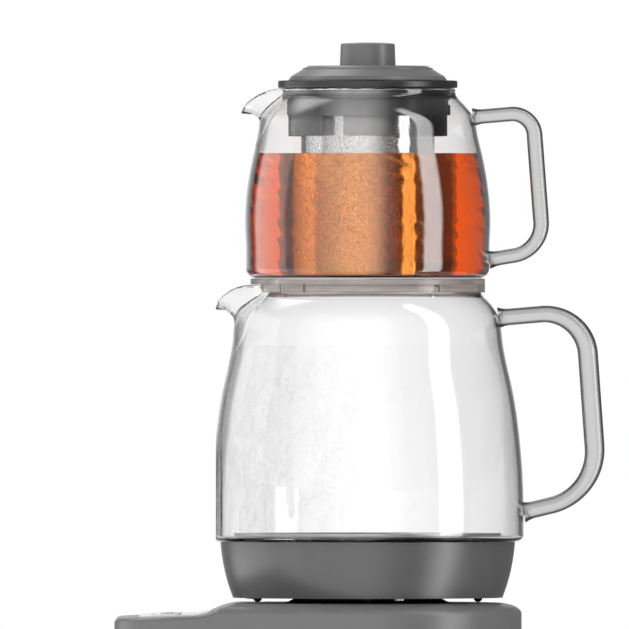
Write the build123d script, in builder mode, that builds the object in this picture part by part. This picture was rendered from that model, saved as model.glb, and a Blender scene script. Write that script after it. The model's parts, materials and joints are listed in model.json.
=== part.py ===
from build123d import *
import os
from math import cos, radians, sin, sqrt, tan

# Automatic tea maker: a glass teapot with a hanging infuser stands on a glass kettle, and the
# kettle stands on a powered base with a sloping control panel.
# Millimetres, +Z up, origin on the worktop under the middle of the machine, +X towards the
# handles and -X towards the spouts and the control panel.

# ---- Driving dimensions ------------------------------------------------------------------

# Clearances
rest_gap = 0.25               # between a piece that lifts off and what it stands on
fit_gap = 0.3                 # around a plate or plug inside its housing
button_gap = 0.35             # around a button in its window
inlay_gap = 0.15              # around the glossy panel in its recess

# Base housing
foot_height = 2.0             # rubber foot below the housing
deck_height = 42.0            # deck above the worktop
base_front_reach = 129.6      # pot axis to the front edge
base_side_reach = 78.9        # pot axis to each side, also the radius of the rear
kettle_handle_reach = 121.5   # pot axis to the outside of the kettle's grip, at the +X end
base_corner_radius = 33.0     # front corners in plan
base_edge_radius = 3.0        # rounding of the panel's edge
crown_width = 12.8            # soft shoulder all round the deck, in from the side
crown_drop = 5.7              # and down from the deck
base_wall = 2.5
slope_start = 63.9            # pot axis to where the deck starts to fall
slope_radius = 31.6           # both arcs of the fall
slope_angle = 25.5            # steepest point of the fall, degrees
panel_tilt = 1.7              # control panel, degrees

# Control panel
inlay_front_reach = 117.0     # pot axis to the inlay's front edge
inlay_rear_reach = 79.5
inlay_width = 108.0
inlay_corner_radius = 7.0
inlay_thickness = 1.0         # below the housing's surface
inlay_proud = 0.7             # above it
inlay_edge_radius = 0.4
button_radius = 7.5
button_pitch = 24.0
button_names = ("power_button", "brew_button", "boil_button", "keep_warm_button")
button_proud = 0.4            # button top above the inlay
button_travel = 1.2
button_flange = 1.3           # flange width and its thickness, under the housing wall
button_stem_radius = 2.4
panel_mid_reach = 103.0       # pot axis to the row of buttons
light_radius = 1.1
light_offset = 11.5           # light pipe behind its button

# Electronics
board_thickness = 1.6
control_board_length = 30.0
control_board_width = 104.0
control_board_drop = 9.0      # panel surface to the top of the control board
board_post_length = 22.0      # spacing of the control board's posts
board_post_width = 97.0
board_post_radius = 2.6
switch_size = 6.0
switch_height = 3.2
switch_plunger = 1.0
buzzer_radius = 6.0
buzzer_height = 4.0
power_board_length = 62.0
power_board_width = 44.0
power_board_height = 11.0     # worktop to the board's underside
power_board_reach = -2.0      # pot axis to the middle of the power board
power_post_inset = 5.0        # posts inside the board's edges
transformer_size = (22.0, 18.0, 15.0)
transformer_place = (-15.0, 6.0)
relay_size = (16.0, 12.0, 14.0)
relay_place = (14.0, -6.0)

# Bottom cover
cover_thickness = 2.2
cover_lip = 0.6               # housing edge below the cover
foot_radius = 9.0
foot_pocket = 1.2             # depth of the foot's pocket in the cover
foot_front_inset = 25.6       # foot inside the base's front edge
foot_side_inset = 32.9
foot_rear_inset = 12.4        # foot inside the round rear
foot_rear_angle = 43.8        # and round from +X, degrees
screw_radius = 1.6
screw_head_radius = 3.0
screw_head_height = 1.8
screw_length = 14.0           # depth of the screw holes in the bosses
screw_tip_gap = 1.0
base_boss_radius = 4.5
boss_front_inset = 45.6       # screw boss inside the base's front edge
boss_side_inset = 16.9
boss_rear_inset = 10.0        # boss inside the round rear
boss_rear_angle = 64.2        # and round from +X, degrees
vent_length = 26.0
vent_width = 2.4
vent_count = 7
vent_pitch = 6.0

# Mains gland
gland_radius = 5.2
gland_bore = 3.2
gland_height = 14.0           # gland axis above the worktop
gland_flange = 2.0

# Dock and its connector
dock_foot_radius = 42.0
dock_neck_radius = 37.3
dock_cone_height = 2.45
dock_height = 7.0             # dock top above the deck
dock_spigot_radius = 21.7
dock_bore_radius = 15.5
dock_edge_radius = 1.2
connector_flange = 2.4
post_radius = 12.4
post_wall = 3.0
post_height = 15.0            # connector post above the deck
post_core_radius = 5.2
contact_wall = 0.8
pin_radius = 2.2
socket_gap = 0.8              # socket around the connector post
recess_gap = 1.0              # kettle recess around the dock

# Kettle glass
kettle_wall = 2.4
kettle_floor = 2.6
kettle_heel_radius = 4.0
kettle_neck_radius = 57.9
kettle_glass_height = 131.6   # underside to rim
kettle_opening = 66.0         # radius of the heater opening in the floor
# flank of the kettle, from the heel to the neck, as (height above the underside, outer radius)
kettle_flank = (
    (13.0, 80.0), (29.5, 79.7), (50.0, 78.2), (78.7, 74.1), (103.3, 69.1),
    (117.2, 66.1), (123.8, 61.2), (128.4, kettle_neck_radius),
)
# drawn spout, root to tip, as (reach, half width, depth of the keel below the spout's edge)
kettle_spout = (
    (50.0, 27.0, 40.0), (58.0, 24.0, 30.0), (64.0, 18.5, 22.5),
    (69.0, 12.5, 14.0), (73.5, 7.4, 7.6), (77.9, 3.0, 2.3),
)
kettle_spout_start = 59.9     # reach where the spout's edge starts to fall
kettle_spout_arc = 21.0
spout_wall = 1.4
rod_stations = (0, 0.12, 0.36, 0.62, 0.88, 1)  # shares of a handle's length: arm, grip, arm

# Kettle handle
kettle_arm_diameter = 8.6
kettle_grip_diameter = 10.3
kettle_handle_top = 118.5     # upper corner above the glass underside
kettle_handle_foot = 24.3     # lower corner above the glass underside
kettle_top_slope = 4.9        # degrees, arm rising outwards
kettle_foot_slope = 13.6
kettle_grip_lean = 4.1        # degrees, foot of the grip outwards
kettle_top_corner = 22.0
kettle_foot_corner = 29.0

# Kettle cup and heater
kettle_foot_height = 2.3      # also the radius of each round foot
kettle_foot_reach = 56.5
cup_height = 28.7
cup_top_radius = 75.5
cup_mid_radius = 73.2
cup_mid_height = 13.1
cup_foot_radius = 69.1
cup_wall = 2.2
cup_flange_width = 5.5
plate_thickness = 2.2
recess_height = 9.5           # recess ceiling above the cup's underside
socket_radius = 22.0
socket_height = 10.0
cup_boss_count = 3
cup_boss_radius = 4.5
cup_boss_reach = 61.5
cup_boss_angle = 45           # degrees from +X
heater_thickness = 1.0
heater_radius = 68.5
heater_dish_radius = 60.0
heater_dish_depth = 1.6
seal_thickness = 0.8
seal_width = 3.0
element_radius = 44.0
element_width = 9.0
element_height = 8.0
element_arc = 310.0
terminal_radius = 1.5
terminal_length = 5.0
terminal_inset = 5.0          # degrees from each end of the element
probe_radius = 3.0
probe_length = 12.0
probe_reach = 30.0

# Seat ring between the pots
ring_radius = 60.2
ring_thickness = 3.1
ring_skirt_drop = 4.1
ring_opening = 47.0
ring_lip_width = 1.6
ring_lip_drop = 2.0
# slots in the skirt, as (degrees from +X, width)
ring_slots = (
    (20, 1.2), (54, 3.4), (123, 1.2), (138, 1.2), (222, 1.2), (237, 1.2), (306, 3.4), (340, 1.2),
)
ring_spout_gap = 1.0          # skirt cut wider than the spout's root, each side

# Teapot glass
teapot_wall = 2.2
teapot_floor = 2.9
teapot_heel_radius = 5.0
teapot_neck_radius = 45.0
teapot_height = 97.1          # underside to rim
# flank of the teapot, from the heel to the neck, as (height above the underside, outer radius)
teapot_flank = (
    (13.0, 62.4), (27.0, 62.9), (45.9, 61.8), (62.3, 58.9), (74.6, 56.1),
    (82.8, 53.9), (91.0, 47.4), (94.8, teapot_neck_radius),
)
# drawn spout, root to tip, as (reach, half width, depth of the keel below the spout's edge)
teapot_spout = (
    (38.0, 18.5, 30.0), (45.0, 15.6, 22.0), (51.0, 12.4, 17.4),
    (56.5, 8.6, 10.9), (61.0, 5.2, 6.0), (64.7, 2.6, 2.2),
)
teapot_spout_start = 42.9
teapot_spout_arc = 27.9

# Teapot handle
teapot_handle_reach = 93.0
teapot_arm_diameter = 7.5
teapot_grip_diameter = 8.2
teapot_handle_top = 85.0
teapot_handle_foot = 14.0
teapot_top_slope = 5.0
teapot_foot_slope = 9.7
teapot_grip_lean = 4.3
teapot_top_corner = 11.3
teapot_foot_corner = 16.6

# Infuser
rim_radius = 46.0
rim_thickness = 3.8
rim_opening = 33.9
rim_edge_radius = 0.7
collar_gap = 0.4              # collar inside the teapot's neck
collar_height = 14.9
collar_step_height = 6.0
collar_step = 1.0
collar_inner_radius = 38.9
ledge_radius = 36.5           # ledge under the basket's flange
ledge_thickness = 1.6
tab_drop = 9.8
tab_inset = 0.6               # tabs inside the collar's lower wall
tab_thickness = 1.7
tab_angles = (-147, -95, -20)  # one of the two equal groups, degrees from +X
tab_width_angle = 36.0
tab_chamfer = 3.0
tab_chamfer_angles = (-165, -77)  # tab corners that are chamfered, in the same group
lug_width_angle = 14.0
lug_height = 5.6
basket_radius = 34.3
basket_sheet = 0.6
basket_depth = 94.0           # rim underside to the basket's floor
pan_height = 5.0
band_height = 10.0
band_sheet = 0.8
band_flange_radius = 38.6

# Lid
lid_height = 7.3
lid_radius = 40.7
lid_brow_radius = 39.3        # where the edge turns into the cone
lid_brow_height = 2.0
lid_top_radius = 30.6
lid_wall = 2.2
lid_plug_gap = 0.6
lid_plug_wall = 1.8
lid_plug_drop = 6.0
knob_radius = 14.3
knob_top_radius = 13.85
knob_height = 11.4
knob_crown = 0.7
knob_edge_radius = 0.8
knob_wall = 2.2
knob_stem_radius = 4.0
knob_screw_length = 8.0

# ---- Derived places ----------------------------------------------------------------------

pot_x = (base_front_reach - kettle_handle_reach) / 2
pot_axis = Axis((pot_x, 0, 0), (0, 0, 1))
side = Plane(origin=(pot_x, 0, 0), x_dir=(1, 0, 0), z_dir=(0, -1, 0))
end_view = Plane(origin=(pot_x, 0, 0), x_dir=(0, -1, 0), z_dir=(-1, 0, 0))
far = 400.0                   # longer than the whole machine, for cuts that run right through

cup_foot_z = deck_height + kettle_foot_height + rest_gap
kettle_z = cup_foot_z + cup_height
kettle_rim_z = kettle_z + kettle_glass_height
ring_z = kettle_rim_z + rest_gap
teapot_z = ring_z + ring_thickness + rest_gap
teapot_rim_z = teapot_z + teapot_height
rim_z = teapot_rim_z + rest_gap
lid_z = rim_z + rim_thickness + rest_gap


def level(height):
    """Horizontal plane on the pot axis."""
    return Plane(origin=(pot_x, 0, height))


def disc(outer, bottom, top, inner=0.0, mode=Mode.ADD):
    """Adds a disc, or a ring with an inner radius, about the pot axis."""
    with BuildSketch(level(bottom)) as face:
        Circle(outer)
        if inner > 0:
            Circle(inner, mode=Mode.SUBTRACT)
    extrude(face.sketch, amount=top - bottom, mode=mode)


def finish(piece, label):
    """Labels a finished sub-part and writes it."""
    piece.part.label = label
    export_step(piece.part, f"parts/{label}.step")


os.makedirs("parts", exist_ok=True)

# ---- Base housing ------------------------------------------------------------------------


def base_outline(inset):
    """Plan of the base, drawn inwards by inset: round at the rear, rounded corners in front."""
    front = base_front_reach - inset
    with BuildSketch(level(foot_height)) as plan:
        Circle(base_side_reach - inset)
        with Locations((-front / 2, 0)):
            Rectangle(front, 2 * (base_side_reach - inset))
        fillet(plan.vertices().group_by(Axis.X)[0], base_corner_radius - inset)
    return plan.sketch


def above_base(inset):
    """Side view of everything above the deck, the fall and the control panel."""
    with BuildSketch(side) as view:
        with BuildLine():
            top = deck_height - inset
            deck = Line((base_side_reach + 1, top), (-slope_start, top))
            crest = JernArc(deck @ 1, (-1, 0), slope_radius - inset, slope_angle)
            trough = JernArc(crest @ 1, crest % 1, slope_radius + inset, panel_tilt - slope_angle)
            panel = PolarLine(trough @ 1, base_front_reach, direction=trough % 1)
            Polyline(panel @ 1, (-far, deck_height + 1), (base_side_reach + 1, deck_height + 1), deck @ 0)
        make_face()
    return view.sketch


def crown_form(inset):
    """Space under the deck's soft shoulder: an elliptical edge, level along the sides and round the rear."""
    half = base_side_reach - inset
    top = deck_height - inset
    with BuildPart() as form:
        with BuildSketch(end_view) as section:
            with BuildLine():
                wall = Line((half, 0), (half, top - crown_drop))
                shoulder = EllipticalCenterArc(
                    (half - crown_width, top - crown_drop), crown_width, crown_drop, arc_size=90
                )
                Polyline(shoulder @ 1, (0, top), (0, 0), wall @ 0)
            make_face()
        revolve(axis=pot_axis)
        with BuildSketch(end_view):
            add(section.sketch_local)
            mirror(about=Plane.YZ)
        extrude(amount=far / 2)
    return form.part


def base_form(inset):
    """Solid inside the base's outer skin, drawn inwards by inset."""
    crown = crown_form(inset)
    with BuildPart() as form:
        extrude(base_outline(inset), amount=deck_height - foot_height)
        extrude(above_base(inset), amount=far / 2, both=True, mode=Mode.SUBTRACT)
        tops = form.faces().filter_by(lambda face: face.normal_at().Z > 0.5)
        rim = form.edges().filter_by(lambda edge: sum(edge in top.edges() for top in tops) == 1)
        fillet(rim, base_edge_radius - inset)
        add(crown, mode=Mode.INTERSECT)
    return form.part


# The control panel's plane: local x points to the rear, local y to the left side of the base.
panel_drop = slope_radius * (1 - 2 * cos(radians(slope_angle)) + cos(radians(panel_tilt)))
panel_run = slope_radius * (2 * sin(radians(slope_angle)) - sin(radians(panel_tilt)))
panel_start_x = -(slope_start + panel_run)
panel_start_z = deck_height - panel_drop
panel_up = Vector(-sin(radians(panel_tilt)), 0, cos(radians(panel_tilt)))
panel_back = Vector(cos(radians(panel_tilt)), 0, sin(radians(panel_tilt)))
panel_mid_z = panel_start_z + (-panel_mid_reach - panel_start_x) * sin(radians(panel_tilt))
panel_plane = Plane(
    origin=(pot_x - panel_mid_reach, 0, panel_mid_z), x_dir=panel_back, z_dir=panel_up
)


def panel_level(depth):
    """Plane below the control panel's surface, parallel to it."""
    return panel_plane.offset(-depth)


button_places = [(0, (index - 1.5) * button_pitch) for index in range(len(button_names))]
light_places = [(light_offset, y) for x, y in button_places]


def corners(front, rear, across):
    """Four places about the pot axis, two in front and two at the rear."""
    return [(x, y) for x in (-front, rear) for y in (-across, across)]


def base_corners(front_inset, side_inset, rear_inset, rear_angle):
    """Four places inside the base's edges: two by the front corners, two round the rear."""
    front = (front_inset - base_front_reach, base_side_reach - side_inset)
    rear_reach = base_side_reach - rear_inset
    rear = (rear_reach * cos(radians(rear_angle)), rear_reach * sin(radians(rear_angle)))
    return [(x, y * hand) for x, y in (front, rear) for hand in (-1, 1)]


boss_places = base_corners(boss_front_inset, boss_side_inset, boss_rear_inset, boss_rear_angle)
foot_places = base_corners(foot_front_inset, foot_side_inset, foot_rear_inset, foot_rear_angle)
board_post_places = corners(board_post_length / 2, board_post_length / 2, board_post_width / 2)
cover_z = foot_height + cover_lip
cover_top = cover_z + cover_thickness


def inlay_outline(gap):
    """Plan of the glossy panel, widened all round by gap."""
    length = inlay_front_reach - inlay_rear_reach + 2 * gap
    with BuildSketch(level(deck_height - 3 * slope_radius / 4)) as plan:
        with Locations((-(inlay_front_reach + inlay_rear_reach) / 2, 0)):
            RectangleRounded(length, inlay_width + 2 * gap, inlay_corner_radius)
    return plan.sketch


def inlay_form(gap):
    """Sheet that follows the panel and the foot of the fall, widened all round by gap."""
    with BuildPart() as sheet:
        extrude(inlay_outline(gap), amount=slope_radius)
        extrude(above_base(inlay_thickness), amount=far / 2, both=True, mode=Mode.INTERSECT)
        if gap == 0:
            extrude(above_base(-inlay_proud), amount=far / 2, both=True, mode=Mode.SUBTRACT)
            tops = sheet.faces().filter_by(lambda face: face.normal_at().Z > 0.5)
            rim = sheet.edges().filter_by(lambda edge: sum(edge in top.edges() for top in tops) == 1)
            fillet(rim, inlay_edge_radius)
    return sheet.part


def gland_outline(grow):
    """End view of the mains gland: round above, straight-sided down to the housing's edge."""
    with BuildSketch(gland_plane) as view:
        Circle(gland_radius + grow)
        with Locations((0, (foot_height - gland_height) / 2)):
            Rectangle(2 * (gland_radius + grow), gland_height - foot_height)
    return view.sketch


gland_plane = Plane(
    origin=(pot_x + base_side_reach, 0, gland_height), x_dir=(0, 1, 0), z_dir=(1, 0, 0)
)
outer_form = base_form(0)
inner_form = base_form(base_wall)
inlay_recess = inlay_form(inlay_gap)

with BuildPart() as base_housing:
    add(outer_form)
    add(inner_form, mode=Mode.SUBTRACT)
    # screw bosses that reach down to the bottom cover
    with BuildSketch(level(cover_top)):
        with Locations(*boss_places):
            Circle(base_boss_radius)
    extrude(amount=deck_height - cover_top)
    # posts that carry the control board under the panel
    with BuildSketch(panel_level(control_board_drop)):
        with Locations(*board_post_places):
            Circle(board_post_radius)
    extrude(amount=control_board_drop)
    add(outer_form, mode=Mode.INTERSECT)
    with BuildSketch(level(cover_top)):
        with Locations(*boss_places):
            Circle(screw_radius)
    extrude(amount=screw_length, mode=Mode.SUBTRACT)
    # recess and windows for the inlay, the buttons and the light pipes
    add(inlay_recess, mode=Mode.SUBTRACT)
    with BuildSketch(panel_level(base_wall * 2)):
        with Locations(*button_places):
            Circle(button_radius + button_gap)
        with Locations(*light_places):
            Circle(light_radius + inlay_gap)
    extrude(amount=base_wall * 2, mode=Mode.SUBTRACT)
    # deck opening for the dock's spigot
    disc(dock_spigot_radius + inlay_gap, deck_height - base_wall * 2, deck_height, mode=Mode.SUBTRACT)
    # notch in the rear wall for the mains gland
    extrude(gland_outline(0), amount=base_wall * 2, both=True, mode=Mode.SUBTRACT)
finish(base_housing, "base_housing")

# ---- Control panel -----------------------------------------------------------------------

inlay_sheet = inlay_form(0)
with BuildPart() as control_panel:
    add(inlay_sheet)
    with BuildSketch(panel_level(base_wall)):
        with Locations(*button_places):
            Circle(button_radius + button_gap)
        with Locations(*light_places):
            Circle(light_radius + inlay_gap)
    extrude(amount=base_wall * 2, mode=Mode.SUBTRACT)
finish(control_panel, "control_panel")

switch_top = control_board_drop - switch_height
flange_top = base_wall + inlay_gap
for name, place in zip(button_names, button_places):
    with BuildPart() as button:
        with BuildSketch(panel_level(flange_top + button_flange)):
            with Locations(place):
                Circle(button_radius + button_flange)
        extrude(amount=button_flange)
        with BuildSketch(panel_level(flange_top)):
            with Locations(place):
                Circle(button_radius)
        extrude(amount=flange_top + inlay_proud + button_proud)
        crown = button.edges().filter_by(GeomType.CIRCLE).sort_by(Axis.Z)[-1]
        fillet(crown, button_proud)
        with BuildSketch(panel_level(switch_top - button_travel - inlay_gap)):
            with Locations(place):
                Circle(button_stem_radius)
        extrude(until=Until.NEXT)
    finish(button, name)

with BuildPart() as control_board:
    with BuildSketch(panel_level(control_board_drop + board_thickness)):
        Rectangle(control_board_length, control_board_width)
    extrude(amount=board_thickness)
finish(control_board, "control_board")

with BuildPart() as tactile_switches:
    with BuildSketch(panel_level(control_board_drop)):
        with Locations(*button_places):
            Rectangle(switch_size, switch_size)
    extrude(amount=switch_height - switch_plunger)
    with BuildSketch(panel_level(switch_top + switch_plunger)):
        with Locations(*button_places):
            Circle(switch_size / 3)
    extrude(amount=switch_plunger)
finish(tactile_switches, "tactile_switches")

with BuildPart() as indicator_lights:
    with BuildSketch(panel_level(control_board_drop)):
        with Locations(*light_places):
            Circle(light_radius)
    extrude(amount=control_board_drop + inlay_proud)
finish(indicator_lights, "indicator_lights")

with BuildPart() as buzzer:
    with BuildSketch(panel_level(control_board_drop + board_thickness + buzzer_height)):
        with Locations((0, button_pitch)):
            Circle(buzzer_radius)
            Circle(buzzer_radius / 6, mode=Mode.SUBTRACT)
    extrude(amount=buzzer_height)
finish(buzzer, "buzzer")

# ---- Bottom cover, feet and screws -------------------------------------------------------

power_post_reach = power_board_length / 2 - power_post_inset
power_post_places = corners(power_post_reach, power_post_reach, power_board_width / 2 - power_post_inset)
power_plane = Plane(origin=(pot_x + power_board_reach, 0, power_board_height))

with BuildPart() as base_cover:
    extrude(base_outline(base_wall + fit_gap).moved(Location((0, 0, cover_lip))), amount=cover_thickness)
    with BuildSketch(level(cover_z)):
        with Locations(*foot_places):
            Circle(foot_radius)
    extrude(amount=foot_pocket, mode=Mode.SUBTRACT)
    # cooling slots under the electronics
    with BuildSketch(level(cover_z)):
        with GridLocations(vent_pitch, 0, vent_count, 1):
            SlotOverall(vent_length, vent_width, rotation=90)
    extrude(amount=cover_thickness, mode=Mode.SUBTRACT)
    # clearance and counterbores for the screws
    with BuildSketch(level(cover_z)):
        with Locations(*boss_places):
            Circle(screw_radius + fit_gap)
    extrude(amount=cover_thickness, mode=Mode.SUBTRACT)
    # posts that carry the power board
    with BuildSketch(power_plane.offset(cover_top - power_board_height)):
        with Locations(*power_post_places):
            Circle(board_post_radius)
    extrude(amount=power_board_height - cover_top)
    # notch behind the mains gland
    extrude(gland_outline(gland_flange + fit_gap), amount=base_wall * 4, both=True, mode=Mode.SUBTRACT)
finish(base_cover, "base_cover")

with BuildPart() as rubber_feet:
    with BuildSketch(Plane(origin=(pot_x, 0, 0))):
        with Locations(*foot_places):
            Circle(foot_radius - inlay_gap)
    extrude(amount=cover_z + foot_pocket)
    chamfer(rubber_feet.edges().group_by(Axis.Z)[0], foot_height / 2)
finish(rubber_feet, "rubber_feet")

with BuildPart() as base_screws:
    with BuildSketch(level(cover_z - screw_head_height)):
        with Locations(*boss_places):
            Circle(screw_head_radius)
    extrude(amount=screw_head_height)
    with BuildSketch(level(cover_z)):
        with Locations(*boss_places):
            Circle(screw_radius)
    extrude(amount=cover_thickness + screw_length - screw_tip_gap)
finish(base_screws, "base_screws")

# ---- Power electronics and mains gland ---------------------------------------------------

with BuildPart() as power_board:
    with BuildSketch(power_plane):
        Rectangle(power_board_length, power_board_width)
    extrude(amount=board_thickness)
finish(power_board, "power_board")

for name, place, size in (
    ("transformer", transformer_place, transformer_size),
    ("relay", relay_place, relay_size),
):
    with BuildPart() as component:
        with BuildSketch(power_plane.offset(board_thickness)):
            with Locations(place):
                Rectangle(size[0], size[1])
        extrude(amount=size[2])
        fillet(component.edges().filter_by(Axis.Z), board_thickness)
    finish(component, name)

with BuildPart() as mains_gland:
    extrude(gland_outline(-inlay_gap / 3), amount=-(base_wall + 2 * gland_flange))
    outer_flange = gland_outline(gland_flange)
    extrude(outer_flange, amount=gland_flange)
    extrude(outer_flange.moved(Location((-base_wall - 2 * gland_flange, 0, 0))), amount=gland_flange)
    with BuildSketch(gland_plane.offset(-base_wall * 4)):
        Circle(gland_bore)
    extrude(amount=far / 10, mode=Mode.SUBTRACT)
finish(mains_gland, "mains_gland")

# ---- Dock --------------------------------------------------------------------------------

dock_top = deck_height + dock_height
spigot_foot = deck_height - 2 * base_wall
with BuildPart() as dock_plate:
    with BuildSketch(side):
        with BuildLine():
            Polyline(
                (dock_bore_radius, deck_height), (dock_foot_radius, deck_height),
                (dock_neck_radius, deck_height + dock_cone_height), (dock_neck_radius, dock_top),
                (dock_bore_radius, dock_top), close=True,
            )
        make_face()
    revolve(axis=pot_axis)
    fillet(dock_plate.edges().group_by(Axis.Z)[-1].sort_by(SortBy.LENGTH)[-1], dock_edge_radius)
    disc(dock_spigot_radius, spigot_foot, deck_height, dock_bore_radius)
finish(dock_plate, "dock_plate")

post_top = deck_height + post_height
with BuildPart() as dock_connector:
    disc(dock_spigot_radius, spigot_foot - connector_flange, spigot_foot)
    disc(dock_bore_radius - inlay_gap, spigot_foot, dock_top)
    disc(post_radius, dock_top, post_top)
    disc(post_radius - post_wall, dock_top, post_top, post_core_radius, mode=Mode.SUBTRACT)
    disc(pin_radius, spigot_foot, post_top, mode=Mode.SUBTRACT)
finish(dock_connector, "dock_connector")

with BuildPart() as dock_contacts:
    disc(pin_radius, spigot_foot, post_top - contact_wall)
    disc(post_radius - post_wall, dock_top, post_top - contact_wall, post_radius - post_wall - contact_wall)
finish(dock_contacts, "dock_contacts")

# ---- Kettle glass and handle -------------------------------------------------------------


def vessel_form(foot, top, heel, flank, inset, floor):
    """Solid inside a blown vessel, drawn inwards by inset and raised by floor at the bottom."""
    points = [(radius - inset, foot + height) for height, radius in flank]
    heel_radius = heel - inset
    with BuildPart() as form:
        with BuildSketch(side):
            with BuildLine():
                base = Line((0, foot + floor), (points[0][0] - heel_radius, foot + floor))
                bend = JernArc(base @ 1, (1, 0), heel_radius, 90)
                wall = Line(bend @ 1, points[0])
                body = Spline(*points, tangents=((0, 1), (0, 1)))
                Polyline(body @ 1, (points[-1][0], top), (0, top), base @ 0)
            make_face()
        revolve(axis=pot_axis)
    return form.part


def spout_form(stations, rim, start, arc, wall):
    """Solid inside a drawn spout: ellipses centred on its falling edge, drawn inwards by wall."""
    with BuildPart() as form:
        for reach, half_width, depth in stations:
            drop = arc - sqrt(arc**2 - max(0, reach - start) ** 2)
            station = Plane(origin=(pot_x - reach, 0, rim - drop), x_dir=(0, 1, 0), z_dir=(-1, 0, 0))
            with BuildSketch(station):
                Ellipse(half_width - wall, depth - wall)
        loft()
    return form.part


def above_spout(rim, start, arc):
    """Space above a vessel's rim and above its spout's falling edge."""
    with BuildPart() as space:
        with BuildSketch(side):
            with BuildLine():
                edge = Line((far / 2, rim), (-start, rim))
                fall = JernArc(edge @ 1, (-1, 0), arc, 75)
                Line(fall @ 1, (-far / 2, rim - arc))
                Polyline((-far / 2, rim - arc), (-far / 2, rim + far / 4), (far / 2, rim + far / 4), edge @ 0)
            make_face()
        extrude(amount=far / 2, both=True)
    return space.part


def handle_form(foot, root, top, bottom, slopes, lean, corners_radii, reach, diameters):
    """Bent glass rod from inside the vessel's wall at root out to the grip and back."""
    arm, grip = diameters
    top_slope, foot_slope = [radians(slope) for slope in slopes]
    lean = radians(lean)
    top_corner, foot_corner = corners_radii
    turn = radians(90) - foot_slope + lean
    corner_run = foot_corner * tan(turn / 2)
    foot_x = reach - grip / 2 + corner_run * sin(lean) - foot_corner * (1 - cos(lean))
    top_x = foot_x - (top - bottom) * tan(lean)
    start = (root, foot + top - (top_x - root) * tan(top_slope))
    end = (root, foot + bottom - (foot_x - root) * tan(foot_slope))
    bends = [(top_x, foot + top), (foot_x, foot + bottom)]
    with BuildPart() as rod:
        with BuildLine(side) as path:
            FilletPolyline(start, *bends, end, radius=[top_corner, foot_corner])
        for place, diameter in zip(rod_stations, (arm, arm, grip, grip, arm, arm)):
            with BuildSketch(Plane(origin=path.line @ place, z_dir=path.line % place)):
                Circle(diameter / 2)
        sweep(multisection=True)
    return rod.part


kettle_shape = (kettle_z, kettle_rim_z, kettle_heel_radius, kettle_flank)
kettle_lip = (kettle_rim_z, kettle_spout_start, kettle_spout_arc)
kettle_outer = vessel_form(*kettle_shape, inset=0, floor=0)
kettle_inner = vessel_form(*kettle_shape, inset=kettle_wall, floor=kettle_floor)
kettle_spout_outer = spout_form(kettle_spout, *kettle_lip, wall=0)
kettle_spout_inner = spout_form(kettle_spout, *kettle_lip, wall=spout_wall)
kettle_above = above_spout(*kettle_lip)

with BuildPart() as kettle_glass:
    add(kettle_outer)
    add(kettle_spout_outer)
    add(kettle_above, mode=Mode.SUBTRACT)
    add(kettle_inner, mode=Mode.SUBTRACT)
    add(kettle_spout_inner, mode=Mode.SUBTRACT)
    disc(kettle_opening, kettle_z, kettle_z + kettle_floor, mode=Mode.SUBTRACT)
finish(kettle_glass, "kettle_glass")

kettle_rod = handle_form(
    kettle_z, kettle_neck_radius, kettle_handle_top, kettle_handle_foot,
    (kettle_top_slope, kettle_foot_slope), kettle_grip_lean,
    (kettle_top_corner, kettle_foot_corner), kettle_handle_reach,
    (kettle_arm_diameter, kettle_grip_diameter),
)
with BuildPart() as kettle_handle:
    add(kettle_rod)
    add(kettle_outer, mode=Mode.SUBTRACT)
finish(kettle_handle, "kettle_handle")

# ---- Kettle cup --------------------------------------------------------------------------

recess_radius = dock_neck_radius + recess_gap
recess_ceiling = cup_foot_z + recess_height
plate_top = cup_foot_z + plate_thickness
plate_radius = cup_foot_radius - cup_wall - inlay_gap


def cup_form(inset):
    """Solid inside the kettle's cup, drawn inwards by inset."""
    with BuildPart() as form:
        with BuildSketch(side):
            with BuildLine():
                bottom = Line((0, cup_foot_z), (cup_foot_radius - inset, cup_foot_z))
                flank = ThreePointArc(
                    bottom @ 1,
                    (cup_mid_radius - inset, cup_foot_z + cup_mid_height),
                    (cup_top_radius - inset, kettle_z),
                )
                Polyline(flank @ 1, (0, kettle_z), bottom @ 0)
            make_face()
        revolve(axis=pot_axis)
    return form.part


cup_outer = cup_form(0)
cup_inner = cup_form(cup_wall)
with BuildPart() as kettle_cup:
    add(cup_outer)
    add(cup_inner, mode=Mode.SUBTRACT)
    disc(cup_top_radius - cup_wall, kettle_z - plate_thickness, kettle_z, cup_top_radius - cup_flange_width)
    # screw bosses, each tied to the wall by a rib
    with BuildSketch(level(plate_top)):
        with PolarLocations(cup_boss_reach, cup_boss_count, cup_boss_angle):
            Circle(cup_boss_radius)
            with Locations((cup_foot_radius - cup_boss_reach, 0)):
                Rectangle(2 * (cup_top_radius - cup_foot_radius), cup_wall)
    extrude(amount=screw_length)
    add(cup_outer, mode=Mode.INTERSECT)
    with BuildSketch(level(plate_top)):
        with PolarLocations(cup_boss_reach, cup_boss_count, cup_boss_angle):
            Circle(screw_radius)
    extrude(amount=screw_length - screw_tip_gap, mode=Mode.SUBTRACT)
finish(kettle_cup, "kettle_cup")

with BuildPart() as kettle_plate:
    disc(plate_radius, cup_foot_z, plate_top, recess_radius)
    disc(recess_radius + cup_wall, cup_foot_z, recess_ceiling + plate_thickness, recess_radius)
    socket_mouth = post_radius + socket_gap
    disc(recess_radius, recess_ceiling, recess_ceiling + plate_thickness, socket_mouth)
    with BuildSketch(level(cup_foot_z)):
        with PolarLocations(cup_boss_reach, cup_boss_count, cup_boss_angle):
            Circle(screw_radius + fit_gap)
    extrude(amount=plate_thickness, mode=Mode.SUBTRACT)
finish(kettle_plate, "kettle_plate")

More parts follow.
